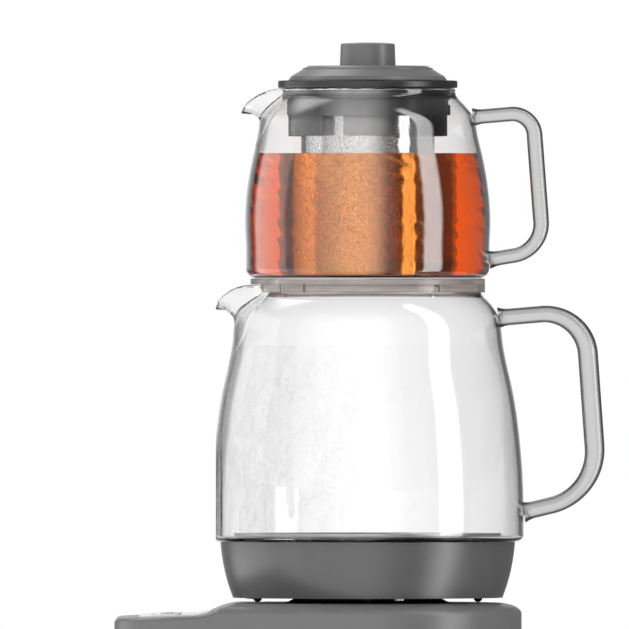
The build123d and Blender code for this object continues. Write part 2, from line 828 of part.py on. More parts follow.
with BuildPart(level(cup_foot_z)) as kettle_feet:
    with PolarLocations(kettle_foot_reach, 4):
        Sphere(kettle_foot_height, arc_size1=-90, arc_size2=0, align=(Align.CENTER, Align.CENTER, Align.MAX))
finish(kettle_feet, "kettle_feet")

with BuildPart() as kettle_screws:
    with BuildSketch(level(cup_foot_z - screw_head_height / 2)):
        with PolarLocations(cup_boss_reach, cup_boss_count, cup_boss_angle):
            Circle(screw_head_radius)
    extrude(amount=screw_head_height / 2)
    with BuildSketch(level(cup_foot_z)):
        with PolarLocations(cup_boss_reach, cup_boss_count, cup_boss_angle):
            Circle(screw_radius)
    extrude(amount=plate_thickness + screw_length - 2 * screw_tip_gap)
finish(kettle_screws, "kettle_screws")

socket_foot = recess_ceiling + plate_thickness
socket_roof = post_top + 2 * socket_gap
contact_reach = (post_core_radius + post_radius - post_wall - contact_wall) / 2
with BuildPart() as kettle_socket:
    disc(socket_radius, socket_foot, socket_foot + socket_height)
    disc(socket_mouth, socket_foot, socket_roof, mode=Mode.SUBTRACT)
    chamfer(kettle_socket.edges().group_by(Axis.Z)[-1], contact_wall)
finish(kettle_socket, "kettle_socket")

with BuildPart() as socket_contacts:
    ring_contact_foot = dock_top + 2 * socket_gap
    disc(contact_reach + contact_wall / 2, ring_contact_foot, socket_roof, contact_reach - contact_wall / 2)
    disc(pin_radius, post_top - contact_wall + rest_gap, socket_roof)
finish(socket_contacts, "socket_contacts")

# ---- Heater ------------------------------------------------------------------------------

seal_z = kettle_z + kettle_floor
plate_z = seal_z + seal_thickness
dish_z = plate_z - heater_dish_depth

with BuildPart() as heater_seal:
    seal_bore = kettle_opening - heater_dish_depth
    disc(heater_radius, seal_z, plate_z, seal_bore)
    disc(kettle_opening, kettle_z, seal_z, seal_bore)
    disc(kettle_opening + seal_width, kettle_z - seal_thickness, kettle_z, seal_bore)
finish(heater_seal, "heater_seal")

with BuildPart() as heater_plate:
    with BuildSketch(side):
        with BuildLine():
            Polyline(
                (0, dish_z), (heater_dish_radius, dish_z), (heater_dish_radius + heater_dish_depth, plate_z),
                (heater_radius, plate_z), (heater_radius, plate_z + heater_thickness),
                (heater_dish_radius + heater_dish_depth - heater_thickness / 2, plate_z + heater_thickness),
                (heater_dish_radius - heater_thickness / 2, dish_z + heater_thickness),
                (0, dish_z + heater_thickness), close=True,
            )
        make_face()
    revolve(axis=pot_axis)
finish(heater_plate, "heater_plate")

with BuildPart() as heating_element:
    with BuildSketch(side):
        with Locations((element_radius, dish_z - element_height / 2)):
            Rectangle(element_width, element_height)
    revolve(axis=pot_axis, revolution_arc=element_arc)
    with BuildSketch(level(dish_z - element_height - terminal_length)):
        for angle in (terminal_inset, element_arc - terminal_inset):
            with PolarLocations(element_radius, 1, angle):
                Circle(terminal_radius)
    extrude(amount=terminal_length + 1)
finish(heating_element, "heating_element")

with BuildPart() as temperature_probe:
    with BuildSketch(level(dish_z - probe_length)):
        with Locations((-probe_reach, 0)):
            Circle(probe_radius)
    extrude(amount=probe_length)
finish(temperature_probe, "temperature_probe")

# ---- Seat ring ---------------------------------------------------------------------------

skirt_inner = kettle_neck_radius + fit_gap
lip_outer = kettle_neck_radius - kettle_wall - fit_gap
with BuildPart() as seat_ring:
    disc(ring_radius, ring_z, ring_z + ring_thickness, ring_opening)
    fillet(seat_ring.edges().group_by(Axis.Z)[-1].sort_by(SortBy.LENGTH)[-1], rim_edge_radius)
    disc(ring_radius, ring_z - ring_skirt_drop, ring_z, skirt_inner)
    disc(lip_outer, ring_z - ring_lip_drop, ring_z, lip_outer - ring_lip_width)
    with BuildSketch(level(ring_z - ring_skirt_drop)):
        # the skirt is open over the kettle's spout, and slotted so that it grips the rim
        with Locations((-ring_radius, 0)):
            Rectangle(ring_radius, 2 * (kettle_spout[0][1] + ring_spout_gap))
        for angle, width in ring_slots:
            with Locations(Location((0, 0, 0), (0, 0, angle))):
                with Locations(((skirt_inner + ring_radius) / 2, 0)):
                    Rectangle(ring_radius - skirt_inner + 1, width)
        Circle(skirt_inner - fit_gap, mode=Mode.SUBTRACT)
    extrude(amount=ring_skirt_drop, mode=Mode.SUBTRACT)
finish(seat_ring, "seat_ring")

# ---- Teapot glass and handle -------------------------------------------------------------

teapot_shape = (teapot_z, teapot_rim_z, teapot_heel_radius, teapot_flank)
teapot_lip = (teapot_rim_z, teapot_spout_start, teapot_spout_arc)
teapot_outer = vessel_form(*teapot_shape, inset=0, floor=0)
teapot_inner = vessel_form(*teapot_shape, inset=teapot_wall, floor=teapot_floor)
teapot_spout_outer = spout_form(teapot_spout, *teapot_lip, wall=0)
teapot_spout_inner = spout_form(teapot_spout, *teapot_lip, wall=spout_wall)
teapot_above = above_spout(*teapot_lip)

with BuildPart() as teapot_glass:
    add(teapot_outer)
    add(teapot_spout_outer)
    add(teapot_above, mode=Mode.SUBTRACT)
    add(teapot_inner, mode=Mode.SUBTRACT)
    add(teapot_spout_inner, mode=Mode.SUBTRACT)
finish(teapot_glass, "teapot_glass")

teapot_rod = handle_form(
    teapot_z, teapot_neck_radius, teapot_handle_top, teapot_handle_foot,
    (teapot_top_slope, teapot_foot_slope), teapot_grip_lean,
    (teapot_top_corner, teapot_foot_corner), teapot_handle_reach,
    (teapot_arm_diameter, teapot_grip_diameter),
)
with BuildPart() as teapot_handle:
    add(teapot_rod)
    add(teapot_outer, mode=Mode.SUBTRACT)
finish(teapot_handle, "teapot_handle")

# ---- Infuser -----------------------------------------------------------------------------

collar_radius = teapot_neck_radius - teapot_wall - collar_gap
collar_foot = rim_z - collar_height
tab_outer = collar_radius - collar_step - tab_inset
tab_inner = tab_outer - tab_thickness


def wedges(angles, width, reach, height):
    """Plan sectors about the pot axis, each centred on an angle and as wide as width."""
    with BuildSketch(level(height)) as plan:
        for angle in angles:
            with BuildLine():
                points = [
                    (reach * cos(radians(angle + turn)), reach * sin(radians(angle + turn)))
                    for turn in (-width / 2, 0, width / 2)
                ]
                Polyline((0, 0), *points, close=True)
            make_face()
    return plan.sketch


def tab_corner(angle):
    """Lower end of a tab's side, at an angle."""
    reach = (tab_outer + tab_inner) / 2
    return (
        pot_x + reach * cos(radians(angle)), reach * sin(radians(angle)), collar_foot - tab_drop
    )


tab_plan = wedges(
    [angle + turn for angle in tab_angles for turn in (0, 180)], tab_width_angle, 2 * rim_radius, collar_foot
)
lug_plan = wedges((0,), lug_width_angle, 2 * rim_radius, collar_foot)

with BuildPart() as infuser_collar:
    disc(collar_radius, rim_z - collar_step_height, rim_z, collar_inner_radius)
    disc(collar_radius - collar_step, collar_foot, rim_z - collar_step_height, collar_inner_radius)
    disc(collar_inner_radius, rim_z - band_sheet - ledge_thickness, rim_z - band_sheet, ledge_radius)
    # hanging tabs, in two equal groups
    with BuildSketch(level(collar_foot - tab_drop)):
        Circle(tab_outer)
        Circle(tab_inner, mode=Mode.SUBTRACT)
        add(tab_plan.moved(Location((0, 0, -tab_drop))), mode=Mode.INTERSECT)
    extrude(amount=tab_drop)
    corners_below = infuser_collar.edges().filter_by(GeomType.LINE).group_by(Axis.Z)[0]
    lead_ins = [
        corners_below.sort_by_distance(tab_corner(angle + turn))[0]
        for angle in tab_chamfer_angles for turn in (0, 180)
    ]
    chamfer(lead_ins, tab_chamfer)
    # bayonet lug
    with BuildSketch(level(collar_foot)):
        Circle(collar_radius)
        Circle(collar_inner_radius, mode=Mode.SUBTRACT)
        add(lug_plan, mode=Mode.INTERSECT)
    extrude(amount=lug_height)
finish(infuser_collar, "infuser_collar")

with BuildPart() as infuser_rim:
    disc(rim_radius, rim_z, rim_z + rim_thickness, rim_opening)
    fillet(infuser_rim.edges(), rim_edge_radius)
finish(infuser_rim, "infuser_rim")

with BuildPart() as basket_band:
    disc(basket_radius + band_sheet, rim_z - band_height, rim_z, basket_radius)
    disc(band_flange_radius, rim_z - band_sheet, rim_z, basket_radius + band_sheet)
finish(basket_band, "basket_band")

basket_foot = rim_z - basket_depth
with BuildPart() as infuser_basket:
    disc(basket_radius, basket_foot, rim_z, basket_radius - basket_sheet)
finish(infuser_basket, "infuser_basket")

with BuildPart() as basket_pan:
    pan_radius = basket_radius - basket_sheet
    disc(pan_radius, basket_foot, basket_foot + pan_height)
    fillet(basket_pan.edges().group_by(Axis.Z)[0], 2 * basket_sheet)
    disc(pan_radius - basket_sheet, basket_foot + basket_sheet, basket_foot + pan_height, mode=Mode.SUBTRACT)
finish(basket_pan, "basket_pan")

# ---- Lid ---------------------------------------------------------------------------------

lid_top = lid_z + lid_height
lid_under = lid_top - lid_wall
plug_radius = rim_opening - lid_plug_gap

with BuildPart() as lid_cover:
    with BuildSketch(side):
        with BuildLine():
            Polyline(
                (0, lid_top), (lid_top_radius, lid_top), (lid_brow_radius, lid_z + lid_brow_height),
                (lid_radius, lid_z), (lid_radius - lid_wall, lid_z),
                (lid_brow_radius - lid_wall, lid_z + lid_brow_height - lid_wall / 4),
                (lid_top_radius - lid_wall / 4, lid_under), (0, lid_under), close=True,
            )
        make_face()
    revolve(axis=pot_axis)
    brows = lid_cover.edges().filter_by(lambda edge: abs(edge.center().Z - lid_z - lid_brow_height) < 0.01)
    fillet(brows, lid_brow_height / 2)
    disc(plug_radius, lid_z - lid_plug_drop, lid_under + lid_wall / 2, plug_radius - lid_plug_wall)
    disc(screw_radius + fit_gap, lid_under, lid_top, mode=Mode.SUBTRACT)
finish(lid_cover, "lid_cover")

with BuildPart() as lid_knob:
    with BuildSketch(side):
        with BuildLine():
            foot_line = Line((0, lid_top), (knob_radius, lid_top))
            flank_line = Line(foot_line @ 1, (knob_top_radius, lid_top + knob_height))
            crown_arc = RadiusArc(
                flank_line @ 1, (0, lid_top + knob_height + knob_crown),
                -(knob_top_radius**2 + knob_crown**2) / (2 * knob_crown),
            )
            Line(crown_arc @ 1, foot_line @ 0)
        make_face()
    revolve(axis=pot_axis)
    shoulder = lid_knob.edges().filter_by(lambda edge: abs(edge.center().Z - lid_top - knob_height) < 0.01)
    fillet(shoulder, knob_edge_radius)
    knob_ceiling = lid_top + knob_height - knob_wall
    disc(knob_radius - knob_wall, lid_top, knob_ceiling, knob_stem_radius, mode=Mode.SUBTRACT)
    disc(screw_radius, lid_top, lid_top + knob_screw_length, mode=Mode.SUBTRACT)
finish(lid_knob, "lid_knob")

with BuildPart() as knob_screw:
    disc(screw_head_radius, lid_under - screw_head_height, lid_under)
    disc(screw_radius, lid_under, lid_top + knob_screw_length - screw_tip_gap)
finish(knob_screw, "knob_screw")
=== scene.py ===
import json
import math
import random

import bmesh
import bpy
import numpy as np
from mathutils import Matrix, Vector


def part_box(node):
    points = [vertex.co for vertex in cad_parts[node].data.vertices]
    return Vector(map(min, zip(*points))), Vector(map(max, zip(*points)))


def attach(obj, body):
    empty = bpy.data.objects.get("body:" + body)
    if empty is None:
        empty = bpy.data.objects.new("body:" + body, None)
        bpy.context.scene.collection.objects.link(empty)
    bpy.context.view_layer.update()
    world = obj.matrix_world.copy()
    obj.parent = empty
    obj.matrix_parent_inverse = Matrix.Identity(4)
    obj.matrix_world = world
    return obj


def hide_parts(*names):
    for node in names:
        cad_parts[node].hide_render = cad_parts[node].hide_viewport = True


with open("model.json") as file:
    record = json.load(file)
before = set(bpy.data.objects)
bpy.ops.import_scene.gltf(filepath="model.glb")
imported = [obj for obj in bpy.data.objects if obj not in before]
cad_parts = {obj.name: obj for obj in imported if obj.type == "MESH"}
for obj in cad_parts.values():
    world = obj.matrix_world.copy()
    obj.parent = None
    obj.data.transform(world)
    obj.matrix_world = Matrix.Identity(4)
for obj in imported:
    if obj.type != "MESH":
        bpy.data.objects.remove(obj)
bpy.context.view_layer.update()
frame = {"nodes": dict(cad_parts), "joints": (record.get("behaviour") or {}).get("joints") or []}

MM = 0.001


def corner(node, which, axis):
    """One coordinate, in mm, of a CAD node's lowest (0) or highest (1) corner."""
    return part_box(node)[which][axis] / MM


pot_x = (corner("seat_ring", 0, 0) + corner("seat_ring", 1, 0)) / 2
kettle_z = corner("kettle_glass", 0, 2)
kettle_rim = corner("kettle_glass", 1, 2)
teapot_z = corner("teapot_glass", 0, 2)
teapot_rim = corner("teapot_glass", 1, 2)

# ---- Node trees ---------------------------------------------------------------------------

NOISE_RANGE = (0.3, 0.7)  # where nearly all of a noise texture's values lie


def node(tree, kind, inputs=None, **props):
    """Adds a node, sets its properties, and links or sets its inputs."""
    made = tree.nodes.new(kind)
    for key, value in props.items():
        setattr(made, key, value)
    for key, value in (inputs or {}).items():
        socket = made.inputs[key]
        if isinstance(value, bpy.types.NodeSocket):
            tree.links.new(value, socket)
        else:
            socket.default_value = value
    return made


def calc(tree, operation, a, b=0.0, c=0.0, **props):
    return node(tree, "ShaderNodeMath", {0: a, 1: b, 2: c}, operation=operation, **props).outputs[0]


def span(tree, value, start, end, at_start, at_end, **props):
    """Takes start..end to at_start..at_end, and stops there."""
    return node(
        tree, "ShaderNodeMapRange",
        {"Value": value, "From Min": start, "From Max": end, "To Min": at_start, "To Max": at_end},
        **props,
    ).outputs[0]


def over_noise(tree, noise, low, high):
    """From low to high where the noise goes from its usual least to its usual most."""
    return span(tree, noise, *NOISE_RANGE, low, high)


def ramp(tree, factor, stops):
    """A colour ramp; stops are (position, grey) or (position, (r, g, b))."""
    made = node(tree, "ShaderNodeValToRGB", {"Fac": factor})
    items = made.color_ramp.elements
    for index, (position, value) in enumerate(stops):
        item = items[index] if index < 2 else items.new(position)
        item.position = position
        rgb = value if isinstance(value, tuple) else (value,) * 3
        item.color = (*rgb, 1)
    return made.outputs["Color"]


def two_shades(tree, noise, shades):
    return ramp(tree, noise, tuple(zip(NOISE_RANGE, shades)))


def relief(tree, height, depth):
    return node(
        tree, "ShaderNodeBump", {"Height": height, "Strength": 1.0, "Distance": depth}
    ).outputs[0]


def blank(name):
    mat = bpy.data.materials.new(name)
    mat.use_nodes = True
    tree = mat.node_tree
    tree.nodes.clear()
    out = node(tree, "ShaderNodeOutputMaterial")
    return mat, tree, out


def covered(tree, out, sockets):
    """Principled surface with these sockets, joined to the output."""
    shader = node(tree, "ShaderNodeBsdfPrincipled", sockets)
    tree.links.new(shader.outputs[0], out.inputs["Surface"])
    return shader


def place(tree, scale=(1, 1, 1)):
    """Object coordinates, stretched."""
    coords = node(tree, "ShaderNodeTexCoord").outputs["Object"]
    return node(tree, "ShaderNodeMapping", {"Vector": coords, "Scale": scale}).outputs[0]


def from_pot_axis(tree):
    """Object coordinates with X from the pot axis, apart."""
    spot = node(tree, "ShaderNodeSeparateXYZ", {0: place(tree)})
    return calc(tree, "ADD", spot.outputs["X"], -pot_x * MM), spot.outputs["Y"], spot.outputs["Z"]


def grain(tree, scale, stretch=(1, 1, 1), detail=3.0, rough=0.55):
    return node(
        tree, "ShaderNodeTexNoise",
        {"Vector": place(tree, stretch), "Scale": scale, "Detail": detail, "Roughness": rough},
    ).outputs["Fac"]


def solid(name, shades, rough, *, scale=120, stretch=(1, 1, 1), metallic=0.0, specular=0.5,
          fine=2200, bump=0.00002, sockets=None):
    """A plastic, metal or rubber: two shades in cloudy noise, uneven gloss and a fine bump."""
    mat, tree, out = blank(name)
    cloud = grain(tree, scale, stretch)
    covered(tree, out, {
        "Base Color": two_shades(tree, cloud, shades), "Roughness": over_noise(tree, cloud, *rough),
        "Normal": relief(tree, grain(tree, fine, stretch, 2.0), bump), "Metallic": metallic,
        "Specular IOR Level": specular, **(sockets or {}),
    })
    return mat


def patched_clearness(tree, share, waterline):
    """How clear the glass stays under whitish patches below its line.

    The patches are thickest on the spout's side, where they take this share of the clearness.
    """
    thick_x, thin_x, thin_share = -0.075, 0.01, 0.12
    spot = node(tree, "ShaderNodeSeparateXYZ", {0: place(tree)})
    side = span(tree, spot.outputs["X"], thick_x, thin_x, 1.0, thin_share)
    below = span(tree, spot.outputs["Z"], waterline - 0.0004, waterline + 0.0002, share, 0.0)
    patches = ramp(tree, grain(tree, 45, (1, 1, 0.6), 8.0), (
        (0.4, 0.0), (0.49, 0.1), (0.5, 1.0), (0.51, 0.3), (0.56, 0.2), (0.57, 0.8), (0.58, 0.1),
        (0.64, 0.1), (0.65, 0.9), (0.67, 0.2),
    ))
    amount = calc(tree, "MULTIPLY", calc(tree, "MULTIPLY", side, below), patches)
    return calc(tree, "SUBTRACT", 1.0, amount, use_clamp=True)


def clear(name, ior, stops, *, wobble=0.05, ripple=0.0, ripple_scale=40, absorb=None, patching=None):
    """Clear glass or liquid, tinted by how steeply it is seen: most at its edges.
    On glass the darker edges are partly the longer path through them and partly painted shade
    for dark surroundings; in the tea the tint stands for the longer path through its sides.

    absorb: colour and density of its inside. patching: share and waterline of whitish patches below
    it.
    """
    mat, tree, out = blank(name)
    facing = node(tree, "ShaderNodeLayerWeight", {"Blend": 0.5}).outputs["Facing"]
    streak = grain(tree, ripple_scale, (1, 1, 0.35), 2.0)
    bent = calc(tree, "MULTIPLY_ADD", streak, wobble, calc(tree, "SUBTRACT", facing, wobble / 2))
    covered(tree, out, {
        "Base Color": ramp(tree, bent, stops), "Roughness": 0.0, "IOR": ior,
        "Transmission Weight": patched_clearness(tree, *patching) if patching else 1.0,
        "Normal": relief(tree, streak, ripple),
    })
    if absorb:
        colour, density = absorb
        volume = node(
            tree, "ShaderNodeVolumeAbsorption", {"Color": (*colour, 1), "Density": density}
        )
        tree.links.new(volume.outputs[0], out.inputs["Volume"])
    return mat


def turned_with_painted_light(name, bands, shades, rough, *, streak, weave=(2600, 0.5), metallic=0.0, cover=None,
                 specular=0.5, bump=0.00002):
    """Turned or woven work: bands by the angle round the pot axis, over a grain.
    The bands are painted reflection and shade.

    streak and weave: scale and upright squeeze of the colour's and the relief's grain.
    cover: how solid the weave is, least and most.
    """
    mat, tree, out = blank(name)
    side, back, _ = from_pot_axis(tree)
    turn = calc(tree, "ARCTAN2", side, calc(tree, "MULTIPLY", back, -1.0))
    share = calc(tree, "MULTIPLY_ADD", turn, 1 / (2 * math.pi), 0.5)
    lines = grain(tree, streak[0], (1, 1, streak[1]), 3.0)
    # Colour: the painted reflection and shade of the bands, times the grain.
    colour = node(
        tree, "ShaderNodeVectorMath",
        {0: ramp(tree, share, bands), 1: two_shades(tree, lines, shades)}, operation="MULTIPLY",
    ).outputs[0]
    woven = grain(tree, weave[0], (1, 1, weave[1]), 2.0)
    covered(tree, out, {
        "Base Color": colour, "Roughness": over_noise(tree, lines, *rough),
        "Normal": relief(tree, woven, bump), "Metallic": metallic, "Specular IOR Level": specular,
        "Alpha": over_noise(tree, woven, *cover) if cover else 1.0,
    })
    return mat


def spun(name, shades, rough):
    """Metal turned or spun round the pot axis: fine rings, and a faint cloud over them."""
    mat, tree, out = blank(name)
    side, back, up = from_pot_axis(tree)
    flat = node(tree, "ShaderNodeCombineXYZ", {0: side, 1: back}).outputs[0]
    reach = node(tree, "ShaderNodeVectorMath", {0: flat}, operation="LENGTH").outputs["Value"]
    line = node(tree, "ShaderNodeCombineXYZ", {0: reach, 2: up}).outputs[0]
    rings = node(
        tree, "ShaderNodeTexNoise",
        {"Vector": line, "Scale": 1400.0, "Detail": 4.0, "Roughness": 0.6},
    ).outputs["Fac"]
    mixed = calc(tree, "MULTIPLY_ADD", grain(tree, 25), 0.25, calc(tree, "MULTIPLY", rings, 0.75))
    covered(tree, out, {
        "Base Color": ramp(tree, mixed, ((0.35, shades[0]), (0.65, shades[1]))),
        "Roughness": over_noise(tree, rings, *rough), "Normal": relief(tree, rings, 0.00001),
        "Metallic": 1.0,
    })
    return mat


def sheet_with_painted_edge_glint(name, top, edge, rough):
    """Clear sheet printed dark underneath: dark from above, with a painted glint on its cut edges.
    """
    mat, tree, out = blank(name)
    normal = node(tree, "ShaderNodeTexCoord").outputs["Normal"]
    up = node(tree, "ShaderNodeSeparateXYZ", {0: normal}).outputs["Z"]
    cloud = grain(tree, 60)
    covered(tree, out, {
        # Faces that turn from upright take the edge colour: a painted glint.
        "Base Color": ramp(
            tree, calc(tree, "MULTIPLY_ADD", cloud, 0.02, up), ((0.955, edge), (0.985, top))
        ),
        "Roughness": over_noise(tree, cloud, *rough),
    })
    return mat


def at(degrees):
    """Position on a ramp that goes once round: 0 is towards the camera, 90 to its right."""
    return (degrees + 180) / 360


WATERLINE = 0.174  # of the kettle, in metres
# Painted reflection and shade on the mesh sleeve, by the angle round the pot axis: dark bands where
# dark surroundings would be mirrored, pale between them.
MESH_PAINTED_REFLECTION = (
    (at(-180), 0.8), (at(-120), 0.6), (at(-76), 0.3), (at(-62), 0.75), (at(-54), 1.0),
    (at(-46), 1.0), (at(-38), 0.9), (at(-10), 0.98), (at(-3), 0.88), (at(4), 0.68), (at(10), 0.74),
    (at(20), 0.84), (at(24), 0.92), (at(28), 0.5), (at(35), 0.48), (at(40), 0.95), (at(47), 1.0),
    (at(60), 0.7), (at(120), 0.55), (at(180), 0.8),
)
# Painted reflection and shade on the collar, by the angle round the pot axis: pale towards the
# camera, dark to its right.
COLLAR_PAINTED_REFLECTION = (
    (at(-180), 0.3), (at(-110), 0.25), (at(-72), 0.24), (at(-56), 0.28), (at(-46), 0.18),
    (at(-38), 0.14), (at(-29), 0.3), (at(-16), 0.66), (at(-2), 0.62), (at(8), 0.38), (at(16), 0.12),
    (at(24), 0.03), (at(42), 0.02), (at(70), 0.01), (at(110), 0.12), (at(180), 0.3),
)
# The glass darkens a little at its edges: partly the longer path, partly painted shade.
GLASS = clear("glass_clear", 1.45, ((0.0, 0.99), (0.22, 0.9), (1.0, 0.86)), ripple=0.00002)
PATCHED_GLASS = clear(
    "glass_clear_patched", 1.45, ((0.0, 0.985), (0.22, 0.9), (1.0, 0.86)), ripple=0.00002,
    patching=(0.2, WATERLINE),
)
# The rod's edges go nearly black: painted shade for the dark surroundings a glass rod shows there.
ROD = clear(
    "glass_rod", 1.45, ((0.0, 0.55), (0.2, 0.52), (0.3, 0.14), (0.42, 0.01)), ripple=0.00002
)
TEA = clear(
    "tea_liquid", 1.33,
    ((0.0, (1, 1, 1)), (0.08, (1, 0.9, 0.78)), (0.16, (1, 0.83, 0.54)), (0.32, (1, 0.6, 0.13))),
    ripple_scale=90, absorb=((0.99, 0.62, 0.0), 46.0),
)
GREY = solid("plastic_grey", (0.178, 0.192), (0.3, 0.36))
CUPGREY = solid("plastic_grey_cup", (0.112, 0.122), (0.29, 0.34), specular=0.6)
LIDGREY = solid("plastic_grey_lid", (0.172, 0.186), (0.28, 0.33), specular=0.4)
# The collar's colour carries painted reflection and shade in bands round it.
COLLAR = turned_with_painted_light(
    "collar_satin_painted_reflection", COLLAR_PAINTED_REFLECTION, (0.95, 1.0), (0.34, 0.4), streak=(300, 0.3), specular=0.14,
    bump=0.000002,
)
RING = solid("ring_dark", (0.018, 0.024), (0.28, 0.34), specular=0.5)
SEAT = solid("seat_translucent", ((0.7, 0.64, 0.61), (0.78, 0.73, 0.7)), (0.13, 0.18),
             sockets={"Transmission Weight": 0.8, "IOR": 1.35})
DARK = solid("plastic_dark", (0.018, 0.024), (0.4, 0.5))
# The panel and buttons: dark on top, with a painted glint on their edges.
GLOSS = sheet_with_painted_edge_glint("panel_gloss", 0.012, 0.95, (0.05, 0.09))
MARK = solid("mark_pale", (0.8, 0.88), (0.06, 0.1))
# The mesh sleeve's colour carries painted reflection and shade in bands round it.
MESH = turned_with_painted_light(
    "steel_mesh_woven_painted_reflection", MESH_PAINTED_REFLECTION, (0.62, 1.0), (0.07, 0.13), metallic=0.85, cover=(0.0, 1.0),
    streak=(1100, 1.0), weave=(1000, 1.0), bump=0.00002,
)
STEEL = solid("steel_brushed", (0.5, 0.6), (0.2, 0.32), metallic=1.0, stretch=(1, 1, 0.1))
CAST = solid("aluminium_cast", (0.42, 0.5), (0.45, 0.6), metallic=1.0)
BRASS = solid("brass", ((0.55, 0.38, 0.14), (0.65, 0.46, 0.18)), (0.25, 0.35), metallic=1.0)
SCREW = solid("screw_steel", (0.4, 0.5), (0.3, 0.4), metallic=1.0)
BOARD = solid("circuit_board", ((0.01, 0.08, 0.03), (0.015, 0.11, 0.045)), (0.3, 0.4))
BLACK = solid("component_black", (0.012, 0.018), (0.35, 0.5))
BLUE = solid("component_blue", ((0.02, 0.08, 0.3), (0.03, 0.1, 0.36)), (0.3, 0.4))
YELLOW = solid("component_yellow", ((0.6, 0.42, 0.06), (0.7, 0.5, 0.08)), (0.4, 0.5))
LIGHT = solid("light_pipe", (0.6, 0.7), (0.2, 0.3))
RUBBER = solid("rubber", (0.02, 0.028), (0.7, 0.85))
SPUN = spun("steel_spun", (0.46, 0.58), (0.34, 0.46))
SILICONE = solid("silicone", (0.72, 0.8), (0.4, 0.55))

DRESS = {
    GREY: ("base_housing",),
    CUPGREY: ("kettle_cup",),
    LIDGREY: ("lid_cover", "lid_knob"),
    COLLAR: ("infuser_collar",),
    RING: ("infuser_rim",),
    SEAT: ("seat_ring",),
    DARK: ("base_cover", "dock_plate", "dock_connector", "kettle_plate", "kettle_feet",
           "kettle_socket", "mains_gland"),
    GLOSS: ("control_panel", "power_button", "brew_button", "boil_button", "keep_warm_button"),
    MESH: ("basket_pan",),
    STEEL: ("basket_band", "heating_element", "temperature_probe"),
    SPUN: ("heater_plate",),
    BRASS: ("dock_contacts", "socket_contacts"),
    SCREW: ("base_screws", "kettle_screws", "knob_screw"),
    BOARD: ("control_board", "power_board"),
    BLACK: ("tactile_switches", "buzzer"),
    BLUE: ("relay",),
    YELLOW: ("transformer",),
    LIGHT: ("indicator_lights",),
    RUBBER: ("rubber_feet",),
    SILICONE: ("heater_seal",),
}
for material, names in DRESS.items():
    for name in names:
        for held in frame["nodes"][name].material_slots:
            held.material = material

# ---- Meshes -------------------------------------------------------------------------------


def piece(name, verts, faces, body, material, stands_for=(), slot=None, sharp=40):
    """A shown piece, in mm, riding a body. Its faces turn outwards."""
    mesh = bpy.data.meshes.new(name)
    mesh.from_pydata([tuple(np.array(v) * MM) for v in verts], [], faces)
    tidy = bmesh.new()
    tidy.from_mesh(mesh)
    bmesh.ops.remove_doubles(tidy, verts=tidy.verts, dist=1e-7)
    bmesh.ops.recalc_face_normals(tidy, faces=tidy.faces)
    tidy.to_mesh(mesh)
    tidy.free()
    mesh.materials.append(material)
    mesh.shade_smooth()
    if sharp:
        mesh.set_sharp_from_angle(angle=math.radians(sharp))
    made = bpy.data.objects.new(name, mesh)
    bpy.context.scene.collection.objects.link(made)
    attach(made, body)
    if stands_for:
        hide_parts(*stands_for)
    return made


def skin(rings, closed=False, caps=(None, None)):
    """Quads between rings of as many points each.

    closed: the last ring joins the first. caps: centre points that close the first and last rings.
    """
    count = len(rings[0])
    verts = [tuple(p) for ring in rings for p in ring]
    faces = []
    pairs = [(i, i + 1) for i in range(len(rings) - 1)]
    if closed:
        pairs.append((len(rings) - 1, 0))
    for a, b in pairs:
        for j in range(count):
            k = (j + 1) % count
            faces.append((a * count + j, a * count + k, b * count + k, b * count + j))
    for cap, row in zip(caps, (0, len(rings) - 1)):
        if cap is not None:
            verts.append(tuple(cap))
            for j in range(count):
                faces.append((row * count + j, row * count + (j + 1) % count, len(verts) - 1))
    return verts, faces


def turned(profile, angles):
    """Rings about the pot axis for (radius, height) points."""
    return [
        [(pot_x + r * math.cos(a), r * math.sin(a), z) for a in angles] for r, z in profile
    ]


def around(count):
    return [2 * math.pi * j / count for j in range(count)]


class Flank:
    """Outer radius of a blown vessel by height: heel arc, upright wall, curve to the neck."""

    def __init__(self, foot, rim, heel, points):
        self.foot, self.rim, self.heel = foot, rim, heel
        z = np.array([h for h, r in points], float)
        r = np.array([r for h, r in points], float)
        count = len(z)
        gaps = np.diff(z)
        m = np.zeros((count, count))
        rhs = np.zeros(count)
        m[0, 0] = m[-1, -1] = 1  # upright at both ends
        for i in range(1, count - 1):
            m[i, i - 1] = gaps[i]
            m[i, i] = 2 * (gaps[i - 1] + gaps[i])
            m[i, i + 1] = gaps[i - 1]
            rhs[i] = 3 * (
                gaps[i] * (r[i] - r[i - 1]) / gaps[i - 1]
                + gaps[i - 1] * (r[i + 1] - r[i]) / gaps[i]
            )
        self.z, self.r, self.slope = z, r, np.linalg.solve(m, rhs)

    def radius(self, height, inset=0.0, floor=0.0, heel=None):
        """height is above the foot."""
        heel = self.heel if heel is None else heel
        h = np.asarray(height, float)
        out = np.empty_like(h)
        low = h < self.z[0]
        r0 = self.r[0] - inset
        arc = np.clip(floor + heel - h, 0, heel)
        out[low] = (r0 - heel + np.sqrt(np.maximum(0, heel**2 - arc**2)))[low]
        top = h >= self.z[-1]
        out[top] = self.r[-1] - inset
        mid = ~low & ~top
        i = np.clip(np.searchsorted(self.z, h[mid], "right") - 1, 0, len(self.z) - 2)
        gap = self.z[i + 1] - self.z[i]
        t = (h[mid] - self.z[i]) / gap
        out[mid] = (
            (1 + 2 * t) * (1 - t) ** 2 * self.r[i] + t * (1 - t) ** 2 * gap * self.slope[i]
            + t * t * (3 - 2 * t) * self.r[i + 1] + t * t * (t - 1) * gap * self.slope[i + 1]
            - inset
        )
        return out


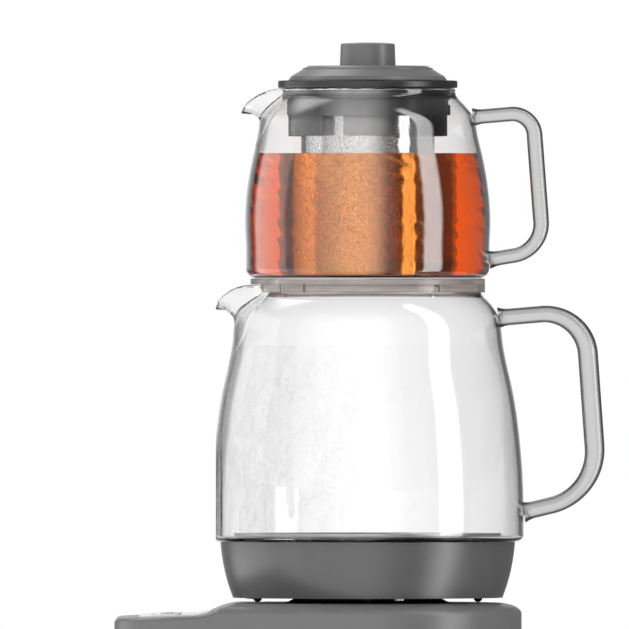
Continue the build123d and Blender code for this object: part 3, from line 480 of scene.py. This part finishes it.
# Columns of points round a vessel, in degrees from the spout: closest together on the spout.
half_round = np.concatenate([
    np.arange(0, 7, 0.4), np.arange(7, 14, 0.7), np.arange(14, 34, 1.0), np.arange(34, 50, 2.0),
    np.arange(50, 179, 3.0),
])
COLUMNS = np.radians(np.concatenate([-half_round[:0:-1], half_round, [180.0]]))
SPOUT_SAMPLES = np.linspace(0, 1, 600)
SMOOTHING = 61  # samples
CLEAR_OF_SPOUT = 1.2  # radians: no column further round meets the spout
NEVER = 1e9
SPOUT_ZONE = 42.0  # height below the rim in which the rows follow the spout's edge
WALL_ROWS, SPOUT_ROWS, ROW_CROWDING = 46, 71, 1.25


def smooth(values):
    kernel = np.hanning(SMOOTHING)
    kernel /= kernel.sum()
    return np.convolve(np.pad(values, SMOOTHING // 2, "edge"), kernel, "valid")


def spouted(flank, spout, start, drop, *, inset, floor, heel, lip, tip_cut, blend):
    """Grid of points of a vessel's outer or inner skin, its spout drawn out of it: rows by columns.

    spout: (reach, half width, depth) along it. Its edge falls from reach start, by an arc of
    radius drop. lip, tip_cut: how much narrower and shorter this skin is. blend: how softly the
    spout leaves the wall.
    """
    reach, widths, depths = np.array(spout).T
    root, tip = reach[0], reach[-1] - tip_cut
    x = root + (tip - root) * SPOUT_SAMPLES
    half = smooth(np.interp(x, reach, widths)) - lip
    deep = smooth(np.interp(x, reach, depths)) - lip
    edge = (flank.rim - flank.foot) - (drop - np.sqrt(drop**2 - np.maximum(0, x - start) ** 2))
    slope = np.tan(np.abs(COLUMNS))
    steep = np.abs(COLUMNS) > CLEAR_OF_SPOUT
    slope[steep] = NEVER
    tops = np.full(len(COLUMNS), flank.rim - flank.foot)
    neck = flank.r[-1] - inset
    for j in range(len(COLUMNS)):
        inside = half >= x * slope[j]
        if inside.any():
            last = np.nonzero(inside)[0][-1]
            if x[last] / math.cos(COLUMNS[j]) > neck:
                tops[j] = edge[last]
    low = tops.max() - SPOUT_ZONE
    level_rows = np.concatenate([
        floor + heel * (1 - np.cos(np.radians(np.linspace(0, 90, 12)))),
        np.linspace(floor + heel, flank.z[0], 4)[1:],
        np.linspace(flank.z[0], low, WALL_ROWS)[1:],
    ])
    climbs = 1 - (1 - np.linspace(0, 1, SPOUT_ROWS + 1)[1:]) ** ROW_CROWDING
    rows = [np.full(len(COLUMNS), h) for h in level_rows] + [low + (tops - low) * c for c in climbs]
    reach_limit = tip / np.maximum(0.5, np.cos(COLUMNS)) + NEVER * (np.abs(COLUMNS) > 1)
    grid = []
    for heights in rows:
        body = flank.radius(heights, inset, floor, heel)
        drawn = np.zeros(len(COLUMNS))
        for j, h in enumerate(heights):
            if h < low - 1 or steep[j]:
                continue
            under = np.clip((edge - h) / deep, 0, 1)
            width = half * np.sqrt(1 - under**2)
            width[(edge - h) > deep] = 0
            inside = width > x * slope[j]
            if inside.any():
                drawn[j] = x[np.nonzero(inside)[0][-1]] / math.cos(COLUMNS[j])
        gap = body - drawn
        radii = np.where(drawn > 0, (body + drawn + np.sqrt(gap**2 + blend**2)) / 2, body)
        radii = np.minimum(radii, reach_limit)
        grid.append(np.stack([
            pot_x - radii * np.cos(COLUMNS), -radii * np.sin(COLUMNS), flank.foot + heights
        ], axis=1))
    return grid


def lip_rows(outer, inner, steps=5):
    """Rounded rim between the top rows of the two skins."""
    rows = []
    middle, half = (outer + inner) / 2, (outer - inner) / 2
    width = np.linalg.norm(half, axis=1)[:, None]
    for k in range(1, steps):
        a = math.pi * k / steps
        rows.append(middle + half * math.cos(a) + np.array([0, 0, 1]) * width * math.sin(a))
    return rows


def vessel(name, flank, spout, body, replaced, glass, *, start, drop, wall, floor, heel, opening=0):
    """A blown glass vessel as one closed skin: outside, rounded rim, inside, floor.

    start, drop: see spouted. heel: radius inside. opening: radius of a round hole in its floor.
    """
    outer = spouted(flank, spout, start, drop, inset=0, floor=0, heel=flank.heel, lip=0,
                    tip_cut=0.0, blend=2.2)
    inner = spouted(flank, spout, start, drop, inset=wall, floor=floor, heel=heel, lip=spout_wall,
                    tip_cut=spout_tip, blend=3.0)
    sink = np.linalg.norm(outer[-1] - inner[-1], axis=1)[:, None] / 2
    for grid in (outer, inner):  # so that the rounded rim ends at the rim's height
        grid[-1] = grid[-1] - np.array([0, 0, 1]) * sink
        grid[-2] = grid[-2] - np.array([0, 0, 1]) * sink * 0.6
    rings = outer + lip_rows(outer[-1], inner[-1]) + inner[::-1]
    turns = COLUMNS - math.pi
    if opening:
        under = turned([(opening, flank.foot)], turns)
        over = turned([(opening, flank.foot + floor)], turns)
        verts, faces = skin(under + rings + over, closed=True)
    else:
        steps = np.linspace(0, 1, 9)[1:-1]
        r_out, r_in = flank.r[0] - flank.heel, flank.r[0] - wall - heel
        under = turned([(r_out * s, flank.foot) for s in steps], turns)
        over = turned([(r_in * s, flank.foot + floor) for s in steps[::-1]], turns)
        verts, faces = skin(
            under + rings + over,
            caps=((pot_x, 0, flank.foot), (pot_x, 0, flank.foot + floor)),
        )
    return piece(name, verts, faces, body, glass, replaced, "clear_glass", sharp=0)


kettle_flank = Flank(kettle_z, kettle_rim, 4.0, (
    (13.0, 80.0), (29.5, 79.7), (50.0, 78.2), (78.7, 74.1), (103.3, 69.1),
    (117.2, 66.1), (123.8, 61.2), (128.4, 57.9),
))
kettle_spout = (
    (50.0, 27.0, 40.0), (58.0, 24.0, 30.0), (64.0, 18.5, 22.5),
    (69.0, 12.5, 14.0), (73.5, 7.4, 7.6), (77.9, 3.0, 2.3),
)
teapot_flank = Flank(teapot_z, teapot_rim, 5.0, (
    (13.0, 62.4), (27.0, 62.9), (45.9, 61.8), (62.3, 58.9), (74.6, 56.1),
    (82.8, 53.9), (91.0, 47.4), (94.8, 45.0),
))
teapot_spout = (
    (38.0, 18.5, 30.0), (45.0, 15.6, 22.0), (51.0, 12.4, 17.4),
    (56.5, 8.6, 10.9), (61.0, 5.2, 6.0), (64.7, 2.6, 2.2),
)
teapot_wall, teapot_floor, teapot_heel = 2.2, 1.6, 2.4
spout_wall, spout_tip = 1.4, 1.5
vessel("kettle_glass_blown", kettle_flank, kettle_spout, "kettle", ("kettle_glass",), PATCHED_GLASS,
       start=59.9, drop=21.0, wall=2.4, floor=2.6, heel=1.2, opening=66.0)
vessel("teapot_glass_blown", teapot_flank, teapot_spout, "teapot", ("teapot_glass",), GLASS,
       start=42.9, drop=27.9, wall=teapot_wall, floor=teapot_floor, heel=teapot_heel)

# Where along a handle its section is that of its arms (0) or of its grip (1).
ROD_STATIONS, ROD_SECTIONS = (0, 0.12, 0.36, 0.62, 0.88, 1), (0, 0, 1, 1, 0, 0)
WELD_SINK = 0.4  # how far a rod's end goes into the wall
WELD_ROWS, WELD_REACH = 15, 7.0
FLARE_REACH, FLARE_SHARE, FLARE_POWER = 6.0, 0.30, 2.2
BEND_STEPS, ROD_ROWS, ROD_SIDES = 24, 150, 28


def rod(name, flank, body, replaced, *, top, bottom, slopes, lean, corner_radii, reach, diameters):
    """A bent glass rod welded to its vessel at both ends, where it flares a little.

    top, bottom: heights of its two corners above the foot. slopes, lean: of the arms and the grip,
    in degrees. reach: from the pot axis to the grip's outside. diameters: of arms and grip.
    """
    arm, grip = diameters
    top_slope, foot_slope = (math.radians(s) for s in slopes)
    lean = math.radians(lean)
    turn = math.radians(90) - foot_slope + lean
    foot_x = reach - grip / 2 + corner_radii[1] * math.tan(turn / 2) * math.sin(lean) \
        - corner_radii[1] * (1 - math.cos(lean))
    top_x = foot_x - (top - bottom) * math.tan(lean)

    def meet(x, z, angle):
        """Where a line rising outwards at this angle leaves the vessel's wall."""
        r = x
        for _ in range(40):
            r = float(flank.radius(np.array([z - (x - r) * math.tan(angle)]))[0])
        return np.array([r - WELD_SINK, z - (x - r) * math.tan(angle)])

    start = meet(top_x, top, top_slope)
    end = meet(foot_x, bottom, foot_slope)
    bends = [np.array([top_x, top]), np.array([foot_x, bottom])]
    points = [start]
    for i, (bend, radius) in enumerate(zip(bends, corner_radii)):
        before = start if i == 0 else bends[0]
        after = bends[1] if i == 0 else end
        u = (before - bend) / np.linalg.norm(before - bend)
        v = (after - bend) / np.linalg.norm(after - bend)
        half_angle = math.acos(float(u @ v)) / 2
        centre = bend + (u + v) / np.linalg.norm(u + v) * radius / math.sin(half_angle)
        a = bend + u * radius / math.tan(half_angle) - centre
        b = bend + v * radius / math.tan(half_angle) - centre
        sweep = math.acos(float(a @ b) / radius**2)
        for t in np.linspace(0, 1, BEND_STEPS + 1):
            points.append(
                centre + (a * math.sin((1 - t) * sweep) + b * math.sin(t * sweep)) / math.sin(sweep)
            )
    points.append(end)
    path = np.array(points)
    run = np.concatenate([[0], np.cumsum(np.linalg.norm(np.diff(path, axis=0), axis=1))])
    length = run[-1]
    places = np.concatenate([
        np.linspace(0, WELD_REACH, WELD_ROWS),
        np.linspace(WELD_REACH, length - WELD_REACH, ROD_ROWS)[1:-1],
        np.linspace(length - WELD_REACH, length, WELD_ROWS),
    ])
    centres = np.stack([np.interp(places, run, path[:, k]) for k in (0, 1)], axis=1)
    heads = np.gradient(centres, axis=0)
    heads /= np.linalg.norm(heads, axis=1)[:, None]
    shape = np.interp(places / length, ROD_STATIONS, ROD_SECTIONS)
    shape = shape * shape * (3 - 2 * shape)
    radii = (arm + (grip - arm) * shape) / 2
    near = np.clip(1 - np.minimum(places, length - places) / FLARE_REACH, 0, 1)
    radii = radii * (1 + FLARE_SHARE * near**FLARE_POWER)
    rings = []
    for c, h, r in zip(centres, heads, radii):
        side = np.array([-h[1], h[0]])
        rings.append([
            (pot_x + c[0] + side[0] * r * math.cos(a), r * math.sin(a),
             flank.foot + c[1] + side[1] * r * math.cos(a))
            for a in around(ROD_SIDES)
        ])
    caps = [(pot_x + c[0], 0, flank.foot + c[1]) for c in (centres[0], centres[-1])]
    verts, faces = skin(rings, caps=caps)
    return piece(name, verts, faces, body, ROD, replaced, "clear_glass", sharp=60)


rod("kettle_handle_rod", kettle_flank, "kettle", ("kettle_handle",), top=118.5, bottom=24.3,
    slopes=(4.9, 13.6), lean=4.1, corner_radii=(22.0, 29.0), reach=121.5, diameters=(8.6, 10.3))
rod("teapot_handle_rod", teapot_flank, "teapot", ("teapot_handle",), top=85.0, bottom=14.0,
    slopes=(5.0, 9.7), lean=4.3, corner_radii=(11.3, 16.6), reach=93.0, diameters=(7.5, 8.2))

# ---- Tea ----------------------------------------------------------------------------------

tea_top = 272.0 - teapot_z  # above the teapot's foot
tea_gap = 0.12
tea_floor = teapot_floor + tea_gap
ripple_depth, ripple_at_top = 0.24, 0.3
fade_in_foot, fade_in_top = 6, 2
heel_run = tea_floor + teapot_heel * (1 - np.cos(np.radians(np.linspace(0, 90, 10))))
tea_heights = np.concatenate([heel_run, np.linspace(heel_run[-1], tea_top, 72)[1:]])
tea_radii = teapot_flank.radius(tea_heights, teapot_wall + tea_gap, tea_floor, teapot_heel)
tea_turns = around(288)
draws = random.Random(7)
ripples = [
    (draws.randrange(9, 60), draws.uniform(0.5, 1.1), draws.uniform(0, 2 * math.pi))
    for _ in range(14)
]


def rippled(radius, height, angle):
    """Inner face of hand-blown glass: shallow dents a few millimetres across."""
    dent = sum(
        math.sin(turns * angle + rise * height + phase) for turns, rise, phase in ripples
    ) / len(ripples)
    above_foot, below_top = height - tea_heights[0], tea_top - height
    near_ends = min(1.0, above_foot / fade_in_foot, below_top / fade_in_top + ripple_at_top)
    return radius - ripple_depth * (0.5 + dent) * max(0.0, near_ends)


def tea_ring(radii, height):
    return [
        (pot_x + r * math.cos(a), r * math.sin(a), teapot_z + height)
        for r, a in zip(radii, tea_turns)
    ]


def level_ring(radius, height):
    return tea_ring([radius] * len(tea_turns), height)


tea_rings = [
    level_ring(tea_radii[0] * s, tea_heights[0]) for s in (0.15, 0.3, 0.45, 0.6, 0.75, 0.9)
]
for tea_radius, tea_height in zip(tea_radii, tea_heights):
    tea_rings.append(tea_ring([rippled(tea_radius, tea_height, a) for a in tea_turns], tea_height))
tea_rings += [level_ring(tea_radii[-1] * s, tea_top) for s in (0.97, 0.9, 0.7, 0.5, 0.3, 0.15)]
tea_verts, tea_faces = skin(
    tea_rings, caps=((pot_x, 0, teapot_z + tea_heights[0]), (pot_x, 0, teapot_z + tea_top))
)
piece("tea", tea_verts, tea_faces, "teapot", TEA, sharp=50)

# ---- Mesh sleeve --------------------------------------------------------------------------

sleeve_foot, sleeve_top = corner("infuser_basket", 0, 2), corner("infuser_basket", 1, 2)
sleeve_radius = (corner("infuser_basket", 1, 0) - corner("infuser_basket", 0, 0)) / 2
sleeve_sheet = 0.6
swell_depth, swell_turns, swell_pitch = 0.06, 12, 7.9
swell_in_foot, swell_in_top = 4, 14  # over how much height the swell comes in
cross_turns, cross_pitch, cross_phase, cross_share = 17, 11.9, 1.0, 0.5
sleeve_rows = np.linspace(sleeve_foot, sleeve_top, 66)
sleeve_turns = around(300)


def sleeve_ring(z, depth, inset=0.0):
    """Round the rolled mesh at height z: it isn't quite true, and swells a little in places."""
    ring = []
    for a in sleeve_turns:
        swells = math.sin(swell_turns * a + 2 * math.pi * z / swell_pitch)
        crossing = math.sin(cross_turns * a - 2 * math.pi * z / cross_pitch + cross_phase)
        swells += cross_share * crossing
        r = sleeve_radius - inset - depth * (1 + cross_share + swells) / 2
        ring.append((pot_x + r * math.cos(a), r * math.sin(a), z))
    return ring


outside = [
    sleeve_ring(z, swell_depth * min(
        1.0, (z - sleeve_foot) / swell_in_foot, (sleeve_top - z) / swell_in_top
    ))
    for z in sleeve_rows
]
inside = [sleeve_ring(z, 0.0, sleeve_sheet) for z in (sleeve_top, sleeve_foot)]
piece("infuser_sleeve", *skin(outside + inside, closed=True), "infuser", MESH, ("infuser_basket",),
      "steel_mesh", sharp=60)

# ---- Marks on the buttons -----------------------------------------------------------------

press = next(j for j in frame["joints"] if j["name"] == "power_press")
panel_up = -np.array(press["axis"], float)
panel_back = np.cross([0, 1, 0], panel_up)
wave_reach, wave_steps = 0.55, 16
stroke_width, stroke_height = 0.55, 0.08


def bow(x, y, radius, start, end, count=24):
    turns = [math.radians(start + (end - start) * k / count) for k in range(count + 1)]
    return [(x + radius * math.cos(t), y + radius * math.sin(t)) for t in turns]


def wave(x, low, high):
    shares = [k / wave_steps for k in range(wave_steps + 1)]
    return [(x + wave_reach * math.sin(2 * math.pi * s), low + (high - low) * s) for s in shares]


def rays(inner, outer, count):
    return [
        [(inner * math.cos(t), inner * math.sin(t)), (outer * math.cos(t), outer * math.sin(t))]
        for t in around(count)
    ]


# Strokes as (right, up) points in mm, as someone in front of the panel sees them.
MARKS = {
    "power_button": [bow(0, 0, 3.1, 125, 415), [(0, 0.6), (0, 3.9)]],
    "brew_button": [
        [(-2.9, 0.9), *bow(0, -0.4, 2.6, 180, 360), (2.9, 0.9)], [(-3.3, 1.0), (3.3, 1.0)],
        bow(2.9, -0.3, 1.3, -75, 75), wave(-1.0, 1.9, 4.2), wave(1.0, 1.9, 4.2),
    ],
    "boil_button": [wave(x, -3.4, 3.4) for x in (-2.3, 0.0, 2.3)],
    "keep_warm_button": [bow(0, 0, 1.9, 0, 360), *rays(2.9, 4.1, 8)],
}


def stroke(points, origin):
    """A flat raised line with square ends."""
    line = np.array(points, float)
    heads = np.gradient(line, axis=0)
    heads /= np.linalg.norm(heads, axis=1)[:, None]
    rings = []
    for (right, up), (dr, du) in zip(line, heads):
        ring = []
        for across, rise in ((-1, -0.5), (1, -0.5), (1, 1), (-1, 1)):
            a = right - du * across * stroke_width / 2
            b = up + dr * across * stroke_width / 2
            ring.append(
                origin + panel_back * b + np.array([0, -a, 0]) + panel_up * rise * stroke_height
            )
        rings.append(ring)
    ends = [sum(rings[k]) / 4 for k in (0, -1)]
    return skin(rings, caps=ends)


def top_of(name):
    """Middle of a CAD node's top face along the panel's normal, in mm."""
    points = np.array([v.co for v in frame["nodes"][name].data.vertices]) / MM
    rise = points @ panel_up
    top = points[rise > rise.max() - 0.01]
    return (top.min(0) + top.max(0)) / 2


for name, strokes in MARKS.items():
    verts, faces = [], []
    for points in strokes:
        more, sides = stroke(points, top_of(name))
        faces += [tuple(i + len(verts) for i in face) for face in sides]
        verts += more
    piece(name.replace("button", "mark"), verts, faces, name, MARK, slot="light_pipe", sharp=30)

# ---- Studio -------------------------------------------------------------------------------

scene = bpy.context.scene
scene.view_settings.view_transform = "Standard"
scene.cycles.use_denoising = True
scene.cycles.caustics_reflective = True
scene.cycles.caustics_refractive = True
scene.cycles.blur_glossy = 0.5
scene.cycles.max_bounces = 24
scene.cycles.transmission_bounces = 20
scene.cycles.glossy_bounces = 8
scene.cycles.diffuse_bounces = 4
scene.cycles.transparent_max_bounces = 16
scene.cycles.volume_bounces = 0

# The camera sees a plain pale backdrop, glass and gloss see a studio with soft lights, and matt
# surfaces take an even light. Azimuth: 0 is towards the camera, 90 to its right.
LIGHTBOXES = (  # radiance, azimuth from and to, elevation from and to, softness of the edges
    (1.15, -135, -86, -30, 26, 3),
    (3.0, -168, -108, 42, 72, 9),
    (5.5, 55.5, 75.5, -40, 66, 1.5),
    (1.2, -140, -57, -80, -8, 5),
)
world = bpy.data.worlds.new("studio")
scene.world = world
world.use_nodes = True
world.cycles.sampling_method = "NONE"
sky = world.node_tree
sky.nodes.clear()


def mixed_in(share, first, second, blend="MIX"):
    return node(
        sky, "ShaderNodeMixRGB", {"Fac": share, "Color1": first, "Color2": second}, blend_type=blend
    ).outputs[0]


def level_grey(value):
    return (value, value, value, 1)


def window(value, low, high, soft):
    """1 between low and high, 0 outside, with soft edges."""
    rise = span(sky, value, low - soft, low + soft, 0.0, 1.0, interpolation_type="SMOOTHSTEP")
    fall = span(sky, value, high - soft, high + soft, 1.0, 0.0, interpolation_type="SMOOTHSTEP")
    return calc(sky, "MULTIPLY", rise, fall)


axes = node(sky, "ShaderNodeSeparateXYZ", {0: node(sky, "ShaderNodeTexCoord").outputs["Generated"]})
sky_turn = calc(sky, "ARCTAN2", axes.outputs["X"], calc(sky, "MULTIPLY", axes.outputs["Y"], -1.0))
azimuth = calc(sky, "MULTIPLY", sky_turn, 180 / math.pi)
elevation = calc(sky, "MULTIPLY", calc(sky, "ARCSINE", axes.outputs["Z"]), 180 / math.pi)
turn_share = calc(sky, "MULTIPLY_ADD", azimuth, 1 / 360, 0.5)


def lightbox(radiance, left, right, low, high, soft):
    """Radiance of a soft light, by direction."""
    box = calc(
        sky, "MULTIPLY", window(azimuth, left, right, soft), window(elevation, low, high, soft)
    )
    return calc(sky, "MULTIPLY", box, radiance)


walls = ramp(sky, turn_share, (
    (at(-180), 1.0), (at(-174), 0.8), (at(-160), 0.3), (at(-145), 0.05), (at(-93), 0.3),
    (at(-80), 0.8), (at(-64), 1.0), (at(-42), 1.4), (at(8), 1.6), (at(31), 0.08), (at(82), 0.1),
    (at(90), 0.12), (at(165), 0.14), (at(176), 0.8), (at(180), 1.0),
))
room = mixed_in(span(sky, elevation, 25.0, 50.0, 0.0, 1.0), walls, level_grey(0.28))
lights = lightbox(*LIGHTBOXES[0])
for box in LIGHTBOXES[1:]:
    lights = calc(sky, "ADD", lights, lightbox(*box))
reflected = mixed_in(1.0, room, lights, "ADD")
scattered = ramp(sky, turn_share, (
    (at(-180), 1.0), (at(-100), 1.15), (at(-20), 0.95), (at(40), 0.9), (at(90), 0.72),
    (at(180), 1.0),
))
ray = node(sky, "ShaderNodeLightPath")
matt, gloss, through = (
    calc(sky, "GREATER_THAN", ray.outputs[kind + " Depth"], 0.5)
    for kind in ("Diffuse", "Glossy", "Transmission")
)
shown = mixed_in(through, level_grey(1.0), level_grey(1.05))
shown = mixed_in(gloss, shown, reflected)
shown = mixed_in(matt, shown, scattered)
backdrop = node(sky, "ShaderNodeBackground", {"Color": shown, "Strength": 1.0})
node(sky, "ShaderNodeOutputWorld", {"Surface": backdrop.outputs[0]})

floor_radius, floor_corners = 1.5, 64
floor_mesh = bpy.data.meshes.new("floor")
rim_points = [
    (floor_radius * math.cos(a), floor_radius * math.sin(a), 0) for a in around(floor_corners)
]
floor_mesh.from_pydata(rim_points, [], [tuple(range(floor_corners))])
floor = bpy.data.objects.new("floor", floor_mesh)
scene.collection.objects.link(floor)
floor.visible_glossy = False
floor_mat, floor_tree, floor_out = blank("floor_pale")
covered(floor_tree, floor_out, {
    "Base Color": ramp(floor_tree, grain(floor_tree, 3.0), ((0.0, 0.86), (1.0, 0.9))),
    "Roughness": 0.7, "Specular IOR Level": 0.2,
})
floor_mesh.materials.append(floor_mat)

camera = bpy.data.cameras.new("camera")
camera.type = "PERSP"
camera_distance, camera_x, camera_z = 14.0, -0.02325, 0.1897
frame_width = 0.3225  # what the picture spans at the pot axis
camera.sensor_width = 36.0
camera.lens = camera.sensor_width * camera_distance / frame_width
camera.clip_start, camera.clip_end = 0.1, 60.0
stand = bpy.data.objects.new("camera", camera)
scene.collection.objects.link(stand)
stand.location = (camera_x, -camera_distance, camera_z)
stand.rotation_euler = (math.pi / 2, 0, 0)
scene.camera = stand
